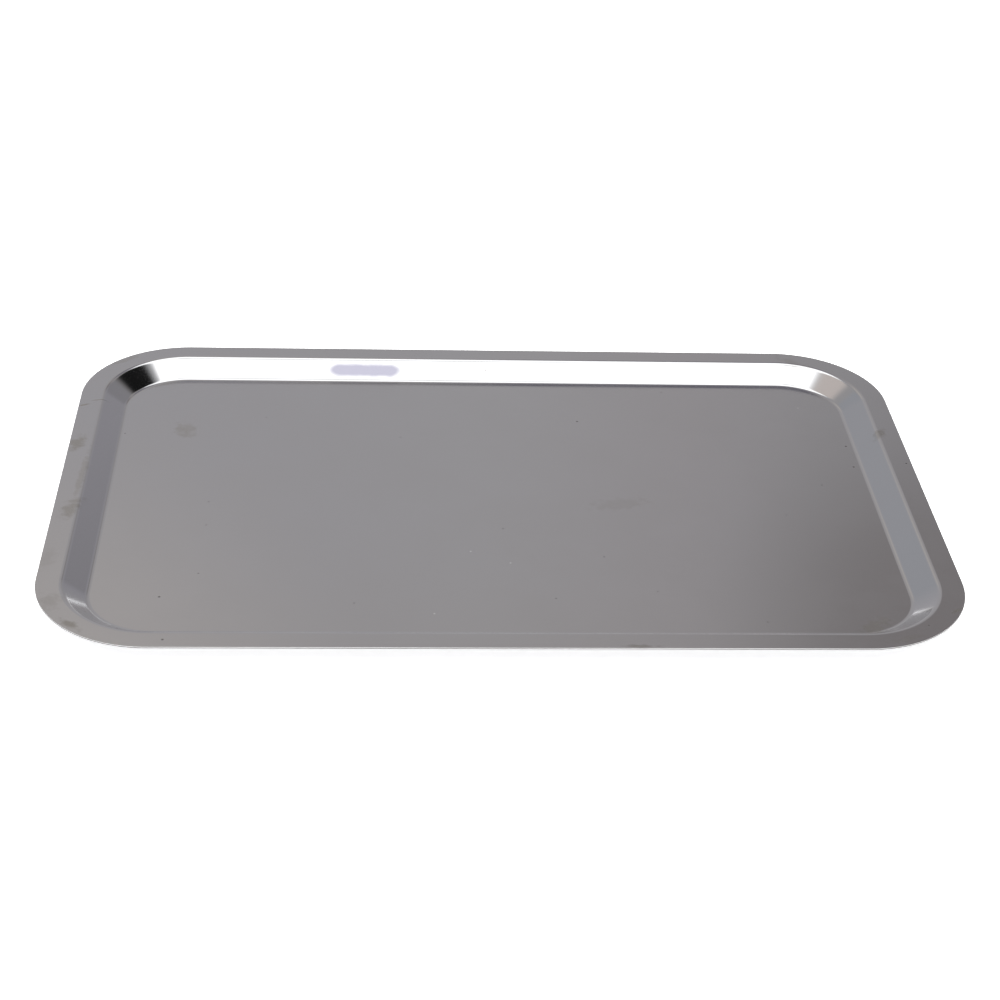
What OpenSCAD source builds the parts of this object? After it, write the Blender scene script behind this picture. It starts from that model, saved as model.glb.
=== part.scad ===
// Pill counting tray, pressed from one sheet of stainless steel.
// A flat floor, a sloping wall and a flat rim run all round, with large rounded corners.
// The origin is the middle of the floor's underside. +X runs along the long side, +Z is up.

/* [Tray] */
// Length over the rim, along X
tray_length = 300; // [220:1:400]
// Width over the rim, along Y
tray_width = 200; // [140:1:300]
// Radius of the rim's outer edge at each corner
corner_radius = 38; // [24:1:60]
// Drop from the top of the rim to the floor
dish_depth = 5.7; // [4:0.1:9]

/* [Sheet] */
// Thickness of the sheet
sheet_thickness = 0.5; // [0.3:0.1:1]
// Flat part of the rim, from its cut edge to the first bend
rim_width = 7.3; // [4:0.1:12]
// Rise of the wall over its run
wall_grade = 0.75; // [0.5:0.05:1.5]
// Radius of the bend between rim and wall, on the upper face
rim_bend_radius = 3; // [1:0.5:7]
// Radius of the bend between wall and floor, on the upper face
floor_bend_radius = 3; // [1:0.5:6]

/* [Hidden] */
$fn = 96;

// Height of the rim's upper face above the floor's underside
rim_top = sheet_thickness + dish_depth;
wall_slope = atan(wall_grade);
// The two bends take part of the drop, and the straight wall takes the rest
bend_drop = (rim_bend_radius + floor_bend_radius) * (1 - cos(wall_slope));
wall_length = (dish_depth - bend_drop) / sin(wall_slope);
// Corner centres, which are also where the straight sides end
corner_x = tray_length / 2 - corner_radius;
corner_y = tray_width / 2 - corner_radius;

// A straight stretch of the sheet: it runs towards -X with its upper face on Y = 0
module flat_stretch(length) {
    translate([-length, -sheet_thickness])
        square([length, sheet_thickness]);
}

// The slice of a ring between +Y and a line turned from it by the angle, towards -X
module ring_slice(inner_radius, angle) {
    outer_radius = inner_radius + sheet_thickness;
    intersection() {
        difference() {
            circle(r = outer_radius);
            circle(r = inner_radius);
        }
        translate([-outer_radius, 0])
            square(outer_radius);
        rotate(angle)
            square(outer_radius);
    }
}

// A bend away from the upper face, and then its children, in the frame where the bend ends
module bend_down(upper_radius, angle) {
    translate([0, -upper_radius]) {
        ring_slice(upper_radius - sheet_thickness, angle);
        rotate(angle)
            translate([0, upper_radius])
                children();
    }
}

// A bend towards the upper face, and then its children, in the frame where the bend ends
module bend_up(upper_radius, angle) {
    translate([0, upper_radius]) {
        mirror([0, 1])
            ring_slice(upper_radius, angle);
        rotate(-angle)
            translate([0, -upper_radius])
                children();
    }
}

// Section of the sheet outwards from floor_start, with X = 0 on a corner's centre
module sheet_section(floor_start = 0) {
    intersection() {
        translate([corner_radius, rim_top]) {
            flat_stretch(rim_width);
            translate([-rim_width, 0])
                bend_down(rim_bend_radius, wall_slope) {
                    flat_stretch(wall_length);
                    translate([-wall_length, 0])
                        bend_up(floor_bend_radius, wall_slope)
                            flat_stretch(corner_radius - floor_start);
                }
        }
        translate([floor_start, -rim_top])
            square([corner_radius - floor_start, 3 * rim_top]);
    }
}

// One straight side of the given length, along +X, with its rim towards -Y
module straight_side(length, floor_start = 0) {
    rotate([90, 0, 90])
        mirror([1, 0, 0])
            linear_extrude(length)
                sheet_section(floor_start);
}

module pressed_tray() {
    color("silver")
        for (turn = [0, 180])
            rotate(turn) {
                // Long side, which carries its half of the floor
                translate([-corner_x, -corner_y, 0])
                    straight_side(2 * corner_x, -corner_y);
                // Short side
                translate([corner_x, -corner_y, 0])
                    rotate(90)
                        straight_side(2 * corner_y);
                // Two corners
                translate([corner_x, corner_y, 0])
                    rotate_extrude(angle = 90)
                        sheet_section();
                translate([corner_x, -corner_y, 0])
                    rotate(-90)
                        rotate_extrude(angle = 90)
                            sheet_section();
            }
}

pressed_tray();
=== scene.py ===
# %% [markdown]
# # A pill counting tray in satin steel
#
# The real tray is one piece: a sheet of stainless steel that a press has pushed into a shallow
# dish. A flat rim, a sloping wall and a flat floor run into each other over small bends. There is
# nothing to assemble, so the work is in the bends, the cut edge and above all the metal.
#
# The CAD model gives the box that the tray has to fill. The sizes below that the box can't tell,
# such as the bends, are the sheet's own and are written once.

# %% Load the frame
import math

import bpy
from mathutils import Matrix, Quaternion, Vector


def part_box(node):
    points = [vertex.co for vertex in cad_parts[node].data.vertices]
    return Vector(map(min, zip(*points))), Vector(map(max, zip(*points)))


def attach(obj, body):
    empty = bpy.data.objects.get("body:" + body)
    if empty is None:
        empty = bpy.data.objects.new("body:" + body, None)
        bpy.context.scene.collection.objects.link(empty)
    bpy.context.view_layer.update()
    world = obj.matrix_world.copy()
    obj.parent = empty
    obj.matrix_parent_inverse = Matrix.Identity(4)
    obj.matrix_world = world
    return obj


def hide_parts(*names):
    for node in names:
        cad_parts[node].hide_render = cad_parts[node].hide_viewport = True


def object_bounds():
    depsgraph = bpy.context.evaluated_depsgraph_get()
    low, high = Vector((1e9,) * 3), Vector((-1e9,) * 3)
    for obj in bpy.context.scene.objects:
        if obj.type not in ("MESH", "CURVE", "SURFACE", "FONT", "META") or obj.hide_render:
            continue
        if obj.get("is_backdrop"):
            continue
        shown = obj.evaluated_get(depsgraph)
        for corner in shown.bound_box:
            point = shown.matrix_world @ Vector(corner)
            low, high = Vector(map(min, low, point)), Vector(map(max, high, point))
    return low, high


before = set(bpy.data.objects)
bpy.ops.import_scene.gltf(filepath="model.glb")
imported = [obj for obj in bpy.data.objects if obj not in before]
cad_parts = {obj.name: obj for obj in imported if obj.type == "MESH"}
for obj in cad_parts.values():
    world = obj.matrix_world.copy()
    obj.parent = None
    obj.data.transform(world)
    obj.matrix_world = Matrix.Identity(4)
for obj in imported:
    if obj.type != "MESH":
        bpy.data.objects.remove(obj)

cad_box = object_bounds()
print("nodes in the frame:", sorted(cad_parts))

# %% Sizes of the tray
MM = 0.001
tray_low, tray_high = (Vector(corner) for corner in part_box("pressed_tray"))
tray_length, tray_width, tray_height = tray_high - tray_low

sheet_thickness = 0.5 * MM
corner_radius = 38 * MM
rim_width = 7.3 * MM
wall_grade = 0.75
rim_bend_radius = 3 * MM
foot_bend_radius = 3 * MM
edge_bevel = 0.09 * MM
bright_cut = 0.12 * MM

dish_depth = tray_height - sheet_thickness
wall_slope = math.atan(wall_grade)
print(f"tray {tray_length / MM:.1f} x {tray_width / MM:.1f} x {tray_height / MM:.1f} mm")
print(f"wall slope {math.degrees(wall_slope):.1f} degrees, dish {dish_depth / MM:.1f} mm deep")


# %% [markdown]
# ## Where the sheet bends
#
# A press brake's drawing gives the creases as if they were sharp, and then a radius for each. A
# bend of a given radius starts a little before its crease, so the crease lies that much further
# in than the end of the flat rim. Working from creases keeps the section to four points.

# %% Creases, measured inwards from the cut edge
def bend_reach(radius):
    """Distance from a sharp crease to where its bend starts."""
    return radius * math.tan(wall_slope / 2)


# The sweep goes on over the floor this far, and the rest of the floor is one flat face
floor_margin = 8 * MM
rim_crease = rim_width + bend_reach(rim_bend_radius)
foot_crease = rim_crease + dish_depth / wall_grade
floor_ring = foot_crease + floor_margin
print(f"creases at {rim_crease / MM:.2f} and {foot_crease / MM:.2f} mm from the edge")


# %% [markdown]
# ## A short way to write nodes
#
# Node trees are easier to read when a node, its settings and what feeds it stand on one line. An
# input is either another node's socket, which gets a link, or a plain value.

# %% Helper for node trees
def add_node(tree, kind, inputs=None, **settings):
    """A new node with its settings made and its inputs filled or linked."""
    node = tree.nodes.new(kind)
    for name, value in settings.items():
        setattr(node, name, value)
    for socket, value in (inputs or {}).items():
        if isinstance(value, bpy.types.NodeSocket):
            tree.links.new(value, node.inputs[socket])
        else:
            node.inputs[socket].default_value = value
    return node


def math_node(tree, operation, first, second=0.0):
    """The result socket of a Math node."""
    return add_node(tree, "ShaderNodeMath", {0: first, 1: second}, operation=operation).outputs[0]


def vector_node(tree, operation, first, second):
    """The Vector socket of a Vector Math node."""
    return add_node(tree, "ShaderNodeVectorMath", {0: first, 1: second}, operation=operation).outputs[0]


def vector_scaled(tree, vector, factor):
    """The vector made longer or turned round by a plain factor."""
    return add_node(tree, "ShaderNodeVectorMath", {0: vector, "Scale": factor}, operation="SCALE").outputs[0]


# %% [markdown]
# ## The skin of the pressing
#
# The upper face of the sheet is one section carried round a rounded rectangle. It could be
# modelled by hand with loops of faces, but the shape follows a rule, so Geometry Nodes write the
# rule down: an outline, a section with rounded creases, and a sweep of one along the other.

# %% Tree inputs
def tree_with_inputs(name, inputs):
    """An empty geometry tree with named inputs, its input node and the identifiers of the inputs."""
    tree = bpy.data.node_groups.new(name, "GeometryNodeTree")
    tree.interface.new_socket("Geometry", in_out="OUTPUT", socket_type="NodeSocketGeometry")
    identifiers = {}
    for label, kind in inputs.items():
        socket = tree.interface.new_socket(label, in_out="INPUT", socket_type=kind)
        identifiers[label] = socket.identifier
    return tree, add_node(tree, "NodeGroupInput"), identifiers


# %% Outline and section
def rounded_outline(tree, given):
    """The line of the tray's cut edge."""
    rectangle = add_node(tree, "GeometryNodeCurvePrimitiveQuadrilateral", {
        "Width": given["Length"],
        "Height": given["Width"],
    })
    rounded = add_node(tree, "GeometryNodeFilletCurve", {
        "Curve": rectangle.outputs[0],
        "Radius": given["Corner Radius"],
        "Count": given["Corner Steps"],
    }, mode="POLY")
    return rounded.outputs[0]


def by_point(tree, values):
    """A number that differs from point to point of the section."""
    switch = add_node(tree, "GeometryNodeIndexSwitch", data_type="FLOAT")
    while len(switch.index_switch_items) < len(values):
        switch.index_switch_items.new()
    index = add_node(tree, "GeometryNodeInputIndex")
    tree.links.new(index.outputs[0], switch.inputs[0])
    for slot, value in enumerate(values, start=1):
        if isinstance(value, bpy.types.NodeSocket):
            tree.links.new(value, switch.inputs[slot])
        else:
            switch.inputs[slot].default_value = value
    return switch.outputs[0]


def pressed_section(tree, given):
    """The upper line of the sheet, from the cut edge to a ring on the floor."""
    line = add_node(tree, "GeometryNodeCurvePrimitiveLine")
    points = add_node(tree, "GeometryNodeResampleCurve", {"Curve": line.outputs[0], "Count": 4})
    inwards = by_point(tree, [0.0, given["Rim Crease"], given["Foot Crease"], given["Floor Ring"]])
    height = by_point(tree, [given["Rim Height"], given["Rim Height"], given["Sheet"], given["Sheet"]])
    place = add_node(tree, "ShaderNodeCombineXYZ", {"X": inwards, "Y": height})
    # On an outline that runs round to the left, a section's X points outwards and its Y points down
    placed = add_node(tree, "GeometryNodeSetPosition", {
        "Geometry": points.outputs[0],
        "Position": vector_scaled(tree, place.outputs[0], -1.0),
    })
    bent = add_node(tree, "GeometryNodeFilletCurve", {
        "Curve": placed.outputs[0],
        "Radius": by_point(tree, [0.0, given["Rim Bend"], given["Foot Bend"], 0.0]),
        "Count": given["Bend Steps"],
    }, mode="POLY")
    return bent.outputs[0]


def open_line_on_floor(tree, mesh, rim_height):
    """The inner edge of the swept skin, as a curve that can be filled."""
    neighbours = add_node(tree, "GeometryNodeInputMeshEdgeNeighbors")
    is_open = math_node(tree, "LESS_THAN", neighbours.outputs[0], 1.5)
    place = add_node(tree, "GeometryNodeInputPosition")
    height = add_node(tree, "ShaderNodeSeparateXYZ", {0: place.outputs[0]}).outputs["Z"]
    is_low = math_node(tree, "LESS_THAN", height, math_node(tree, "MULTIPLY", rim_height, 0.5))
    line = add_node(tree, "GeometryNodeMeshToCurve", {
        "Mesh": mesh,
        "Selection": math_node(tree, "MULTIPLY", is_open, is_low),
    })
    return line.outputs[0]


# %% The whole tree
def make_skin_tree():
    """Geometry tree for the upper face of the pressing."""
    sizes = ["Length", "Width", "Corner Radius", "Rim Height", "Sheet",
             "Rim Crease", "Foot Crease", "Floor Ring", "Rim Bend", "Foot Bend"]
    kinds = {label: "NodeSocketFloat" for label in sizes}
    kinds.update({"Corner Steps": "NodeSocketInt", "Bend Steps": "NodeSocketInt"})
    kinds["Steel"] = "NodeSocketMaterial"
    tree, start, identifiers = tree_with_inputs("pressed_skin", kinds)
    given = start.outputs

    cut_line = rounded_outline(tree, given)
    path = add_node(tree, "GeometryNodeSetCurveNormal", {"Curve": cut_line}, mode="Z_UP")
    wall = add_node(tree, "GeometryNodeCurveToMesh", {
        "Curve": path.outputs[0],
        "Profile Curve": pressed_section(tree, given),
    })
    upwards = add_node(tree, "GeometryNodeFlipFaces", {"Mesh": wall.outputs[0]})
    floor_line = open_line_on_floor(tree, upwards.outputs[0], given["Rim Height"])
    floor = add_node(tree, "GeometryNodeFillCurve", {"Curve": floor_line}, mode="NGONS")
    level = add_node(tree, "ShaderNodeCombineXYZ", {"Z": given["Sheet"]})
    floor = add_node(tree, "GeometryNodeSetPosition", {
        "Geometry": floor.outputs[0],
        "Offset": level.outputs[0],
    })
    joined = add_node(tree, "GeometryNodeJoinGeometry")
    tree.links.new(upwards.outputs[0], joined.inputs[0])
    tree.links.new(floor.outputs[0], joined.inputs[0])
    welded = add_node(tree, "GeometryNodeMergeByDistance", {
        "Geometry": joined.outputs[0],
        "Distance": 0.01 * MM,
    })
    smooth = add_node(tree, "GeometryNodeSetShadeSmooth", {"Geometry": welded.outputs[0]})
    real = add_node(tree, "GeometryNodeRealizeInstances", {"Geometry": smooth.outputs[0]})
    finished = add_node(tree, "GeometryNodeSetMaterial", {
        "Geometry": real.outputs[0],
        "Material": given["Steel"],
    })
    end = add_node(tree, "NodeGroupOutput")
    tree.links.new(finished.outputs[0], end.inputs[0])
    return tree, identifiers


skin_tree, skin_inputs = make_skin_tree()
print("skin tree has", len(skin_tree.nodes), "nodes")


# %% [markdown]
# ## What handling leaves on steel
#
# Each of three effects is a node group: the fine lines that rolling and rubbing leave, soft oval marks, and
# tiny specks. The oval marks are mostly the cloudy marks of fingers, and the same group also draws painted
# highlights and painted shade. The face of the sheet uses all three, and its cut edge uses the lines again
# with values of its own. A group puts out only masks, and the material decides what a mask does to its
# colour, its roughness and its height.

# %% Group helper
def shader_group(name, inputs, outputs):
    """An empty shader group with named inputs and outputs, and its two end nodes."""
    tree = bpy.data.node_groups.new(name, "ShaderNodeTree")
    for label, (kind, value) in inputs.items():
        socket = tree.interface.new_socket(label, in_out="INPUT", socket_type=kind)
        if value is not None:
            socket.default_value = value
    for label in outputs:
        tree.interface.new_socket(label, in_out="OUTPUT", socket_type="NodeSocketFloat")
    return tree, add_node(tree, "NodeGroupInput").outputs, add_node(tree, "NodeGroupOutput").inputs


def smooth_step(tree, value, low, high, from_value=0.0, to_value=1.0):
    """A soft ramp between two levels."""
    ramp = add_node(tree, "ShaderNodeMapRange", {
        "Value": value, "From Min": low, "From Max": high, "To Min": from_value, "To Max": to_value,
    }, interpolation_type="SMOOTHSTEP")
    return ramp.outputs[0]


# %% Rolled grain: fine lines along one direction
def make_grain_group():
    """Fine parallel lines, with patches where they are fainter."""
    tree, given, result = shader_group("rolled_grain", {
        "Vector": ("NodeSocketVector", None),
        "Stretch": ("NodeSocketVector", (60.0, 2600.0, 2600.0)),
        "Patch Size": ("NodeSocketFloat", 28.0),
    }, ["Lines", "Patches"])
    along = vector_node(tree, "MULTIPLY", given["Vector"], given["Stretch"])
    lines = add_node(tree, "ShaderNodeTexNoise", {"Vector": along, "Scale": 1.0, "Detail": 3.0})
    patches = add_node(tree, "ShaderNodeTexNoise", {
        "Vector": given["Vector"], "Scale": given["Patch Size"], "Detail": 4.0, "Roughness": 0.6,
    })
    tree.links.new(lines.outputs[0], result["Lines"])
    tree.links.new(smooth_step(tree, patches.outputs[0], 0.35, 0.68), result["Patches"])
    return tree


# %% Oval mark: one soft oval or bar at a chosen place, for rubbed marks and for painted highlights and shade
def make_mark_group():
    """A soft, ragged oval, 1 in the middle and 0 outside, or a bar if it has a straight part."""
    tree, given, result = shader_group("oval_mark", {
        "Vector": ("NodeSocketVector", None),
        "Centre": ("NodeSocketVector", (0.0, 0.0, 0.0)),
        "Half Size": ("NodeSocketVector", (0.01, 0.01, 0.01)),
        "Straight": ("NodeSocketVector", (0.0, 0.0, 0.0)),
        "Turn": ("NodeSocketFloat", 0.0),
        "Ragged": ("NodeSocketFloat", 0.5),
        "Core": ("NodeSocketFloat", 0.25),
        "Strength": ("NodeSocketFloat", 1.0),
    }, ["Mask"])
    moved = vector_node(tree, "SUBTRACT", given["Vector"], given["Centre"])
    turned = add_node(tree, "ShaderNodeVectorRotate", {"Vector": moved, "Angle": given["Turn"]},
                      rotation_type="Z_AXIS").outputs[0]
    # Taking the straight part out of the length turns the oval into a bar with round ends
    other_way = vector_scaled(tree, given["Straight"], -1.0)
    held = vector_node(tree, "MINIMUM", turned, given["Straight"])
    held = vector_node(tree, "MAXIMUM", held, other_way)
    rest = vector_node(tree, "SUBTRACT", turned, held)
    scaled = vector_node(tree, "DIVIDE", rest, given["Half Size"])
    reach = add_node(tree, "ShaderNodeVectorMath", {0: scaled}, operation="LENGTH")
    rag = add_node(tree, "ShaderNodeTexNoise", {"Vector": given["Vector"], "Scale": 330.0, "Detail": 4.0})
    rag = math_node(tree, "MULTIPLY", math_node(tree, "SUBTRACT", rag.outputs[0], 0.5), given["Ragged"])
    level = math_node(tree, "ADD", reach.outputs["Value"], math_node(tree, "MULTIPLY", rag, 2.4))
    oval = smooth_step(tree, level, 1.0, given["Core"])
    tree.links.new(math_node(tree, "MULTIPLY", oval, given["Strength"]), result["Mask"])
    return tree


# %% Specks: tiny pits, a few in each hand's breadth
def make_speck_group():
    """Sparse round dots of one size."""
    tree, given, result = shader_group("specks", {
        "Vector": ("NodeSocketVector", None),
        "Cells": ("NodeSocketFloat", 60.0),
        "Dot": ("NodeSocketFloat", 0.02),
        "Share": ("NodeSocketFloat", 0.1),
    }, ["Mask"])
    cells = add_node(tree, "ShaderNodeTexVoronoi", {"Vector": given["Vector"], "Scale": given["Cells"]},
                     voronoi_dimensions="2D")
    dot = math_node(tree, "LESS_THAN", cells.outputs["Distance"], given["Dot"])
    pick = add_node(tree, "ShaderNodeSeparateColor", {"Color": cells.outputs["Color"]})
    chosen = math_node(tree, "LESS_THAN", pick.outputs[0], given["Share"])
    tree.links.new(math_node(tree, "MULTIPLY", dot, chosen), result["Mask"])
    return tree


rolled_grain = make_grain_group()
oval_mark = make_mark_group()
specks = make_speck_group()
print("shader groups:", rolled_grain.name, oval_mark.name, specks.name)


# %% [markdown]
# ## Satin steel
#
# The steel is a plain metal whose look comes from what it mirrors. Its roughness is low enough to show the
# studio as soft shapes. Finger marks dull it and warm it a little, so each mark mixes towards a duller
# steel. Most lie where hands hold such a tray: on the rims and near the corners. One soft dark streak along
# the foot bend at the front right is painted shade, mixed towards the same duller steel, and a few small
# dots are painted highlights, glints laid on as a much brighter steel.
# A very low, wide waviness keeps the flats from looking like glass.

# %% Marks on the tray: x, y, half length, half width in mm, turn in degrees, strength
hand_marks_and_shade = [
    (-147, 25, 7, 4, 70, 0.8),
    (-144, -19, 9, 4, 75, 0.7),
    (-143, 2, 22, 1.6, 88, 0.45),
    (-148, -51, 9, 4, 80, 0.2),
    (-144, -76, 7, 5, 60, 0.35),
    (-136, -88, 6, 2, -38, 1.0),
    (41, -99, 7, 1.6, 0, 0.7),
    (143, 37, 5, 2.5, 65, 0.7),
    (144, -79, 4, 1.3, 35, 1.0),
    # This row is painted shade: a soft dark streak on the floor along the foot bend at the front right
    # corner
    (118, -80, 13, 4, 45, 0.75),
    (124, -95, 9, 2, 20, 0.5),
    (-111, 45, 5, 7, 10, 0.5),
    (43, -5, 14, 5, 10, 0.2),
    (-136, 89, 8, 2, 40, 0.4),
    (120, 92, 12, 3, -40, 0.3),
]
scratches = [
    (-148, 53, 3, 0.8, 25, 1.0),
    (-143, 57, 4, 0.6, 15, 0.8),
]
pits = [(-111, -64), (-107, -96), (33, 54), (131, 37), (131, 22), (148, 15)]
haze_place = (-46, 87.8)
# Painted highlights: small glints laid on as bright steel at these points
painted_glint_points = [(-10, -36), (3, -43), (-23, -73), (118, 66)]

# %% Colours of the steel
steel_colour = (0.60, 0.60, 0.61, 1.0)
clouded_steel = (0.565, 0.562, 0.565, 1.0)
lined_steel = (0.50, 0.50, 0.51, 1.0)
# Duller steel for the finger marks, and for the painted shade streak along the foot bend
dulled_and_shaded_steel = (0.435, 0.42, 0.39, 1.0)
pit_colour = (0.12, 0.10, 0.09, 1.0)
hazed_steel = (0.305, 0.30, 0.36, 1.0)
# Painted highlight: the colour of the small glints
painted_glint_steel = (0.95, 0.95, 0.95, 1.0)


# %% Masks for the marks
def mark_mask(tree, vector, place, half_size, turn=0, strength=1.0, ragged=0.7, core=0.2, straight=0.0):
    """One soft mark seen from above, with sizes in mm and the turn in degrees. It draws rubbed marks, and
    also painted highlights and painted shade.
    """
    mark = add_node(tree, "ShaderNodeGroup", node_tree=oval_mark)
    tree.links.new(vector, mark.inputs["Vector"])
    mark.inputs["Centre"].default_value = Vector((*place, 0)) * MM
    mark.inputs["Half Size"].default_value = Vector((*half_size, 100)) * MM
    mark.inputs["Straight"].default_value = Vector((straight, 0, 0)) * MM
    mark.inputs["Turn"].default_value = -math.radians(turn)
    mark.inputs["Strength"].default_value = strength
    mark.inputs["Ragged"].default_value = ragged
    mark.inputs["Core"].default_value = core
    return mark.outputs[0]


def all_of(tree, masks):
    """The strongest of several masks at each point."""
    total = masks[0]
    for mask in masks[1:]:
        total = math_node(tree, "MAXIMUM", total, mask)
    return total


def round_dots(tree, vector, places, radius, strength):
    """Small round marks of one size, given in mm."""
    return all_of(tree, [
        mark_mask(tree, vector, place, (radius, radius), strength=strength, ragged=0.0) for place in places
    ])


def mix_colour(tree, factor, first, second):
    """Colour that goes from the first to the second with the factor."""
    node = add_node(tree, "ShaderNodeMix", {0: factor}, data_type="RGBA")
    for socket, colour in ((6, first), (7, second)):
        if isinstance(colour, bpy.types.NodeSocket):
            tree.links.new(colour, node.inputs[socket])
        else:
            node.inputs[socket].default_value = colour
    return node.outputs[2]


# %% The sheet's face
def new_metal(name):
    """A material with an empty metal shader, its tree and its Object coordinates."""
    material = bpy.data.materials.new(name)
    material.use_nodes = True
    tree = material.node_tree
    metal = tree.nodes["Principled BSDF"]
    metal.inputs["Metallic"].default_value = 1.0
    vector = add_node(tree, "ShaderNodeTexCoord").outputs["Object"]
    return material, tree, metal, vector


def make_satin_steel():
    """Steel of the two faces of the sheet."""
    material, tree, metal, vector = new_metal("satin_steel")
    grain = add_node(tree, "ShaderNodeGroup", node_tree=rolled_grain)
    tree.links.new(vector, grain.inputs["Vector"])
    grain.inputs["Stretch"].default_value = (45.0, 2600.0, 2600.0)

    rubbed_and_shaded = [mark_mask(tree, vector, (x, y), (long, wide), turn, strength)
              for x, y, long, wide, turn, strength in hand_marks_and_shade]
    scored = [mark_mask(tree, vector, (x, y), (long, wide), turn, strength, ragged=0.2)
              for x, y, long, wide, turn, strength in scratches]
    # Finger marks and scratches, with the one painted shade streak among them
    smudge_and_shade = all_of(tree, rubbed_and_shaded + scored)
    haze = mark_mask(tree, vector, haze_place, (5, 2.7), ragged=0.12, core=0.45, straight=9.5)
    pitted = round_dots(tree, vector, pits, 0.6, 0.75)
    # Painted highlights: the small bright glints
    painted_glints = round_dots(tree, vector, painted_glint_points, 0.5, 0.6)
    # The marks are places seen from above, so they are kept off the underside
    facing = add_node(tree, "ShaderNodeTexCoord").outputs["Normal"]
    facing = add_node(tree, "ShaderNodeSeparateXYZ", {"Vector": facing}).outputs["Z"]
    upper = smooth_step(tree, facing, -0.1, 0.1)
    smudge_and_shade, haze, pitted, painted_glints = [
        math_node(tree, "MULTIPLY", mask, upper) for mask in (smudge_and_shade, haze, pitted, painted_glints)
    ]
    dots = add_node(tree, "ShaderNodeGroup", node_tree=specks)
    tree.links.new(vector, dots.inputs["Vector"])
    pitted = math_node(tree, "MAXIMUM", pitted, math_node(tree, "MULTIPLY", dots.outputs[0], 0.35))

    clouds = math_node(tree, "MULTIPLY", grain.outputs["Patches"], 0.22)
    lines = math_node(tree, "MULTIPLY", grain.outputs["Lines"], 0.10)
    colour = mix_colour(tree, clouds, steel_colour, clouded_steel)
    colour = mix_colour(tree, lines, colour, lined_steel)
    # Finger marks, and the painted shade streak, mix towards the duller steel
    colour = mix_colour(tree, smudge_and_shade, colour, dulled_and_shaded_steel)
    colour = mix_colour(tree, haze, colour, hazed_steel)
    colour = mix_colour(tree, pitted, colour, pit_colour)
    # Painted highlights: the glints are laid on as a bright steel colour
    colour = mix_colour(tree, painted_glints, colour, painted_glint_steel)
    tree.links.new(colour, metal.inputs["Base Color"])

    rough = smooth_step(tree, grain.outputs["Patches"], 0.0, 1.0, 0.095, 0.125)
    rough = math_node(tree, "ADD", rough, math_node(tree, "MULTIPLY", smudge_and_shade, 0.14))
    rough = math_node(tree, "ADD", rough, math_node(tree, "MULTIPLY", grain.outputs["Lines"], 0.02))
    tree.links.new(rough, metal.inputs["Roughness"])

    waves = add_node(tree, "ShaderNodeTexNoise", {"Vector": vector, "Scale": 14.0, "Detail": 1.0})
    unlevel = add_node(tree, "ShaderNodeBump", {"Height": waves.outputs[0], "Distance": 0.06 * MM})
    fine = add_node(tree, "ShaderNodeBump", {
        "Height": grain.outputs["Lines"], "Distance": 0.0012 * MM, "Normal": unlevel.outputs[0],
    })
    dents = add_node(tree, "ShaderNodeBump", {
        "Height": math_node(tree, "SUBTRACT", 0.0, pitted), "Distance": 0.03 * MM, "Normal": fine.outputs[0],
    })
    tree.links.new(dents.outputs[0], metal.inputs["Normal"])
    return material


# %% [markdown]
# ## The cut edge
#
# A press blanks the tray out of the sheet last. The punch leaves the upper part of the edge bright and the
# lower part torn and dull, with short lines across the thickness. Here the upper band's colour is lighter
# than the steel, partly a painted highlight, and the lower band's near-black colour is painted shade. The
# lines are the rolled grain again, turned so that they stand up.

# %% The cut edge
# The upper band's light colour is partly a painted highlight on the burnish, and the lower band's near-black
# colour is painted shade
burnish_and_painted_highlight = (0.85, 0.85, 0.85, 1.0)
torn_edge_painted_shade = (0.03, 0.03, 0.03, 1.0)
lined_edge = (0.34, 0.33, 0.33, 1.0)


def make_cut_edge():
    """Steel of the narrow edge that the blanking punch leaves."""
    material, tree, metal, vector = new_metal("cut_edge")
    grain = add_node(tree, "ShaderNodeGroup", node_tree=rolled_grain)
    tree.links.new(vector, grain.inputs["Vector"])
    grain.inputs["Stretch"].default_value = (2400.0, 2400.0, 120.0)
    height = add_node(tree, "ShaderNodeSeparateXYZ", {"Vector": vector}).outputs["Z"]
    # The lower band: torn steel, real in its roughness, and painted shade in its near-black colour; the
    # upper band gets a painted highlight
    torn_and_shaded = smooth_step(tree, height, tray_height - bright_cut, tray_height - 1.5 * bright_cut)
    colour = mix_colour(tree, torn_and_shaded, burnish_and_painted_highlight, torn_edge_painted_shade)
    colour = mix_colour(tree, math_node(tree, "MULTIPLY", grain.outputs["Lines"], 0.4), colour, lined_edge)
    tree.links.new(colour, metal.inputs["Base Color"])
    rough = math_node(tree, "ADD", math_node(tree, "MULTIPLY", torn_and_shaded, 0.22), 0.2)
    rough = math_node(tree, "ADD", rough, math_node(tree, "MULTIPLY", grain.outputs["Patches"], 0.06))
    tree.links.new(rough, metal.inputs["Roughness"])
    lines = add_node(tree, "ShaderNodeBump", {"Height": grain.outputs["Lines"], "Distance": 0.006 * MM})
    tree.links.new(lines.outputs[0], metal.inputs["Normal"])
    return material


satin_steel = make_satin_steel()
cut_edge = make_cut_edge()
# The count takes in the one painted shade streak as well
print("satin steel has", len(satin_steel.node_tree.nodes), "nodes, for", len(hand_marks_and_shade), "finger marks")
print("the cut edge has", len(cut_edge.node_tree.nodes), "nodes")


# %% [markdown]
# ## From skin to sheet
#
# The skin becomes a sheet by growing downwards by the sheet's thickness, so the upper face keeps
# its drawn sizes and the whole stays inside the CAD box. A small bevel then takes the knife edge
# off the cut, and weighted normals let the flats shade flat right up to the bends. The modifiers
# are run once and the result is kept as a plain mesh.

# %% Make the pressed tray
# No bend is steeper than the wall, so a face that is steeper still belongs to the cut edge
steepest_wall = math.cos(wall_slope) - 0.05


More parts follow.
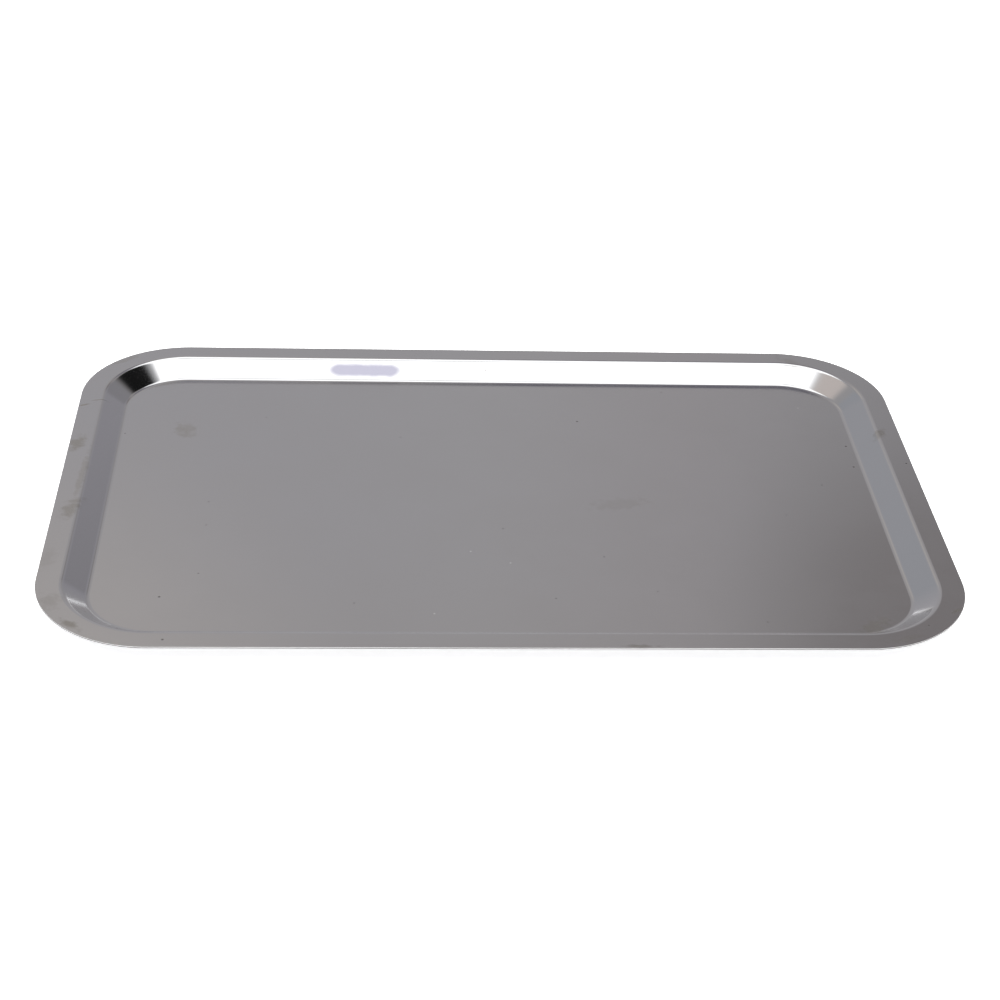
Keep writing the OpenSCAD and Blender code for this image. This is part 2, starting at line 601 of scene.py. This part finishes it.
def make_tray():
    """The finished tray as one plain mesh."""
    skin = bpy.data.objects.new("tray_skin", bpy.data.meshes.new("tray_skin"))
    bpy.context.scene.collection.objects.link(skin)
    pressing = skin.modifiers.new("pressing", "NODES")
    pressing.node_group = skin_tree
    sizes = {
        "Length": tray_length, "Width": tray_width, "Corner Radius": corner_radius,
        "Rim Height": tray_height, "Sheet": sheet_thickness,
        "Rim Crease": rim_crease, "Foot Crease": foot_crease, "Floor Ring": floor_ring,
        "Rim Bend": rim_bend_radius, "Foot Bend": foot_bend_radius,
        "Corner Steps": 56, "Bend Steps": 12, "Steel": satin_steel,
    }
    for label, value in sizes.items():
        pressing[skin_inputs[label]] = value

    wall = skin.modifiers.new("sheet", "SOLIDIFY")
    wall.thickness = sheet_thickness
    wall.offset = -1.0
    wall.use_even_offset = True
    edge = skin.modifiers.new("edge", "BEVEL")
    edge.width = edge_bevel
    edge.segments = 3
    edge.limit_method = "ANGLE"
    edge.angle_limit = math.radians(60)
    normals = skin.modifiers.new("normals", "WEIGHTED_NORMAL")
    normals.keep_sharp = True

    shaped = skin.evaluated_get(bpy.context.evaluated_depsgraph_get())
    mesh = bpy.data.meshes.new_from_object(shaped)
    bpy.data.objects.remove(skin)
    mesh.name = "satin_tray"
    mesh.materials.clear()
    mesh.materials.append(satin_steel)
    mesh.materials.append(cut_edge)
    for face in mesh.polygons:
        if abs(face.normal.z) < steepest_wall:
            face.material_index = 1
    tray = bpy.data.objects.new("satin_tray", mesh)
    bpy.context.scene.collection.objects.link(tray)
    return tray


tray = make_tray()
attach(tray, "root")
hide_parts("pressed_tray")
print("tray faces:", len(tray.data.polygons))


# %% [markdown]
# ## The table
#
# The tray rests on a wide white table. It is only the stage, so it is marked as such and plays no
# part in the model's size.

# %% Table
def make_table():
    """A wide white plane under the tray."""
    material = bpy.data.materials.new("white_table")
    material.use_nodes = True
    paint = material.node_tree.nodes["Principled BSDF"]
    paint.inputs["Base Color"].default_value = (0.92, 0.92, 0.92, 1.0)
    paint.inputs["Roughness"].default_value = 0.9
    paint.inputs["Specular IOR Level"].default_value = 0.1
    paint.inputs["Emission Color"].default_value = (1.0, 1.0, 1.0, 1.0)
    paint.inputs["Emission Strength"].default_value = 0.5
    tree = material.node_tree
    below = add_node(tree, "ShaderNodeNewGeometry").outputs["Backfacing"]
    clear = add_node(tree, "ShaderNodeBsdfTransparent")
    either = add_node(tree, "ShaderNodeMixShader", {0: below, 1: paint.outputs[0], 2: clear.outputs[0]})
    tree.links.new(either.outputs[0], tree.nodes["Material Output"].inputs[0])
    half = 6.0
    # A hair below the tray, because two faces in one plane can't both be drawn
    top = -0.1 * MM
    corners = [(-half, -half, top), (half, -half, top), (half, half, top), (-half, half, top)]
    mesh = bpy.data.meshes.new("table")
    mesh.from_pydata(corners, [], [(0, 1, 2, 3)])
    mesh.materials.append(material)
    table = bpy.data.objects.new("table", mesh)
    bpy.context.scene.collection.objects.link(table)
    table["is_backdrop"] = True
    return table


table = make_table()
print(f"the table is {table.dimensions.x:.0f} m wide")


# %% [markdown]
# ## The studio
#
# Polished metal is lit by what it mirrors. From this camera the flats mirror the far wall of the
# room at about 30 degrees above the table, and the sloping wall at the back mirrors the ceiling.
# So the room is a grey one that darkens to the right, with a wide softbox overhead for the bright
# wall, a black flag that the far left corner mirrors, and a warm card for the far right one.
#
# The room is painted by direction. A bearing of 0 is straight ahead over the tray's back, and
# bearings grow to the right. A round patch is given by a direction and by two distances from it on
# a ball of radius 1: where the patch is still full, and where it is gone.

# %% Colours of the room
room_colours = [
    (-180, (0.52, 0.52, 0.53)),
    (-90, (0.46, 0.47, 0.50)),
    (-32, (0.42, 0.43, 0.46)),
    (-11, (0.47, 0.46, 0.48)),
    (4, (0.47, 0.46, 0.47)),
    (10, (0.44, 0.42, 0.43)),
    (14, (0.40, 0.39, 0.40)),
    (26, (0.37, 0.36, 0.39)),
    (31, (0.31, 0.30, 0.32)),
    (90, (0.36, 0.36, 0.37)),
    (180, (0.52, 0.52, 0.53)),
]
wall_patches = [
    # A lighter stretch to the left, which the left rim mirrors
    ((-0.17, 0.77, 0.61), 0.05, 0.19, (0.57, 0.54, 0.52)),
    # A brown piece of furniture to the right, which the right rim mirrors
    ((0.27, 0.79, 0.55), 0.03, 0.13, (0.27, 0.25, 0.25)),
    # The floor next to the back wall mirrors the wall, and through it these two, which lie higher
    ((0.16, 0.66, 0.74), 0.10, 0.17, (0.22, 0.21, 0.25)),
    ((-0.09, 0.67, 0.74), 0.03, 0.09, (0.36, 0.35, 0.39)),
]
ceiling_patches = [
    # Straight overhead the box is dimmer, so that a look down at the tray doesn't find it all white
    ((0.0, 0.04, 1.0), 0.06, 0.20, (1.10, 1.10, 1.11)),
    # A warm card to the left of the softbox and a black flag to its right
    ((-0.52, 0.26, 0.81), 0.15, 0.33, (0.77, 0.70, 0.66)),
    ((0.60, 0.28, 0.75), 0.21, 0.41, (0.01, 0.01, 0.01)),
]
upper_wall = (0.46, 0.43, 0.41)
ceiling = (0.80, 0.80, 0.81)
softbox_light = (2.1, 2.1, 2.1)
seen_background = (1.05, 1.05, 1.05)
print(len(wall_patches), "patches on the walls and", len(ceiling_patches), "overhead")


# %% Masks for the room
def paint_over(tree, mask, colour, new_colour):
    """The room's colour with another laid over it where the mask is 1."""
    return mix_colour(tree, mask, colour, (*new_colour, 1.0))


def round_patch(tree, direction, centre, full, gone):
    """Mask of a soft round patch of the room."""
    away = add_node(tree, "ShaderNodeVectorMath", {0: direction, 1: Vector(centre).normalized()},
                    operation="DISTANCE")
    return smooth_step(tree, away.outputs["Value"], gone, full)


def between(tree, value, low, high, soft_low, soft_high):
    """Mask that is 1 from low to high and fades out over a soft width on each side."""
    rise = smooth_step(tree, value, low - soft_low, low)
    fall = smooth_step(tree, value, high + soft_high, high)
    return math_node(tree, "MULTIPLY", rise, fall)


def add_patches(tree, direction, colour, patches):
    """The room's colour with a list of round patches painted over it in turn."""
    for centre, full, gone, new_colour in patches:
        colour = paint_over(tree, round_patch(tree, direction, centre, full, gone), colour, new_colour)
    return colour


def colour_by_bearing(tree, x, y):
    """The colours of the room's walls all round."""
    bearing = math_node(tree, "ARCTAN2", x, y)
    turn = math_node(tree, "ADD", math_node(tree, "DIVIDE", bearing, math.tau), 0.5)
    ramp = add_node(tree, "ShaderNodeValToRGB", {0: turn})
    stops = ramp.color_ramp.elements
    while len(stops) < len(room_colours):
        stops.new(0.5)
    for stop, (degrees, colour) in zip(stops, room_colours):
        stop.position = degrees / 360 + 0.5
        stop.color = (*colour, 1.0)
    return ramp.outputs[0]


def softbox_mask(tree, x, y, z):
    """A wide box let into the ceiling, with its sides given as slopes from straight up."""
    height = math_node(tree, "MAXIMUM", z, 0.01)
    across = between(tree, math_node(tree, "DIVIDE", x, height), -0.35, 0.42, 0.14, 0.06)
    along = between(tree, math_node(tree, "DIVIDE", y, height), -0.50, 0.55, 0.08, 0.08)
    return math_node(tree, "MULTIPLY", across, along)


# %% Room round the tray
def make_room():
    """World shader: a grey room for reflections, and plain white for the camera."""
    world = bpy.data.worlds.new("studio")
    bpy.context.scene.world = world
    world.use_nodes = True
    tree = world.node_tree
    tree.nodes.clear()
    direction = add_node(tree, "ShaderNodeTexCoord").outputs["Generated"]
    x, y, z = add_node(tree, "ShaderNodeSeparateXYZ", {0: direction}).outputs

    # The walls, a little warmer higher up
    colour = colour_by_bearing(tree, x, y)
    warm = math_node(tree, "MULTIPLY", smooth_step(tree, z, 0.53, 0.60), 0.5)
    colour = paint_over(tree, warm, colour, upper_wall)
    colour = add_patches(tree, direction, colour, wall_patches)

    # The ceiling and what hangs from it
    colour = paint_over(tree, smooth_step(tree, z, 0.74, 0.88), colour, ceiling)
    colour = paint_over(tree, softbox_mask(tree, x, y, z), colour, softbox_light)
    colour = add_patches(tree, direction, colour, ceiling_patches)

    seen = add_node(tree, "ShaderNodeLightPath").outputs["Is Camera Ray"]
    colour = paint_over(tree, seen, colour, seen_background)
    light = add_node(tree, "ShaderNodeBackground", {"Color": colour})
    end = add_node(tree, "ShaderNodeOutputWorld")
    tree.links.new(light.outputs[0], end.inputs[0])
    return world


room = make_room()
print("the room has", len(room.node_tree.nodes), "nodes")


# %% Light on the table
def make_table_light(height, width, brightness):
    """A square light that faces straight down and isn't mirrored. The brightness is its surface's."""
    light = bpy.data.lights.new("table_light", "AREA")
    light.shape = "SQUARE"
    light.size = width
    light.energy = brightness * math.pi * width ** 2
    lamp = bpy.data.objects.new("table_light", light)
    lamp.location = (0.0, 0.0, height)
    lamp.visible_camera = False
    lamp.visible_glossy = False
    bpy.context.scene.collection.objects.link(lamp)
    return lamp


table_light = make_table_light(height=2.5, width=4.0, brightness=2.2)
print(f"the table light gives {table_light.data.energy:.0f} W")


# %% [markdown]
# ## The camera
#
# A short telephoto from the front, about 31 degrees above the table and very slightly turned and
# rolled, as a camera held by hand would be.

# %% Camera
view_target = Vector((0.8, -12.1, 6.2)) * MM
view_distance = 732.7 * MM
view_azimuth = math.radians(-4.14)
view_elevation = math.radians(31.13)
camera_roll = math.radians(2.53)


def make_camera():
    """The studio camera, aimed at the tray."""
    lens = bpy.data.cameras.new("camera")
    lens.sensor_width = 36
    lens.lens = 76.87
    lens.clip_start = 0.05
    camera = bpy.data.objects.new("camera", lens)
    back = Vector((
        math.sin(view_azimuth) * math.cos(view_elevation),
        -math.cos(view_azimuth) * math.cos(view_elevation),
        math.sin(view_elevation),
    ))
    camera.location = view_target + back * view_distance
    camera.rotation_mode = "QUATERNION"
    aim = (-back).to_track_quat("-Z", "Y")
    camera.rotation_quaternion = aim @ Quaternion((0, 0, 1), camera_roll)
    bpy.context.scene.collection.objects.link(camera)
    return camera


scene = bpy.context.scene
scene.camera = make_camera()
scene.view_settings.view_transform = "Standard"
print("the camera stands at", [round(part / MM) for part in scene.camera.location], "mm")


# %% [markdown]
# ## Print the size and finish
#
# The tray has to fill the CAD box and not leave it, so both boxes are written out side by side.

# %% Print the boxes side by side
seen_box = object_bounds()
boxes = {
    "cad": [list(corner) for corner in cad_box],
    "visual": [list(corner) for corner in seen_box],
}
for label, (low, high) in boxes.items():
    print(label, [round(value / MM, 3) for value in low], [round(value / MM, 3) for value in high])
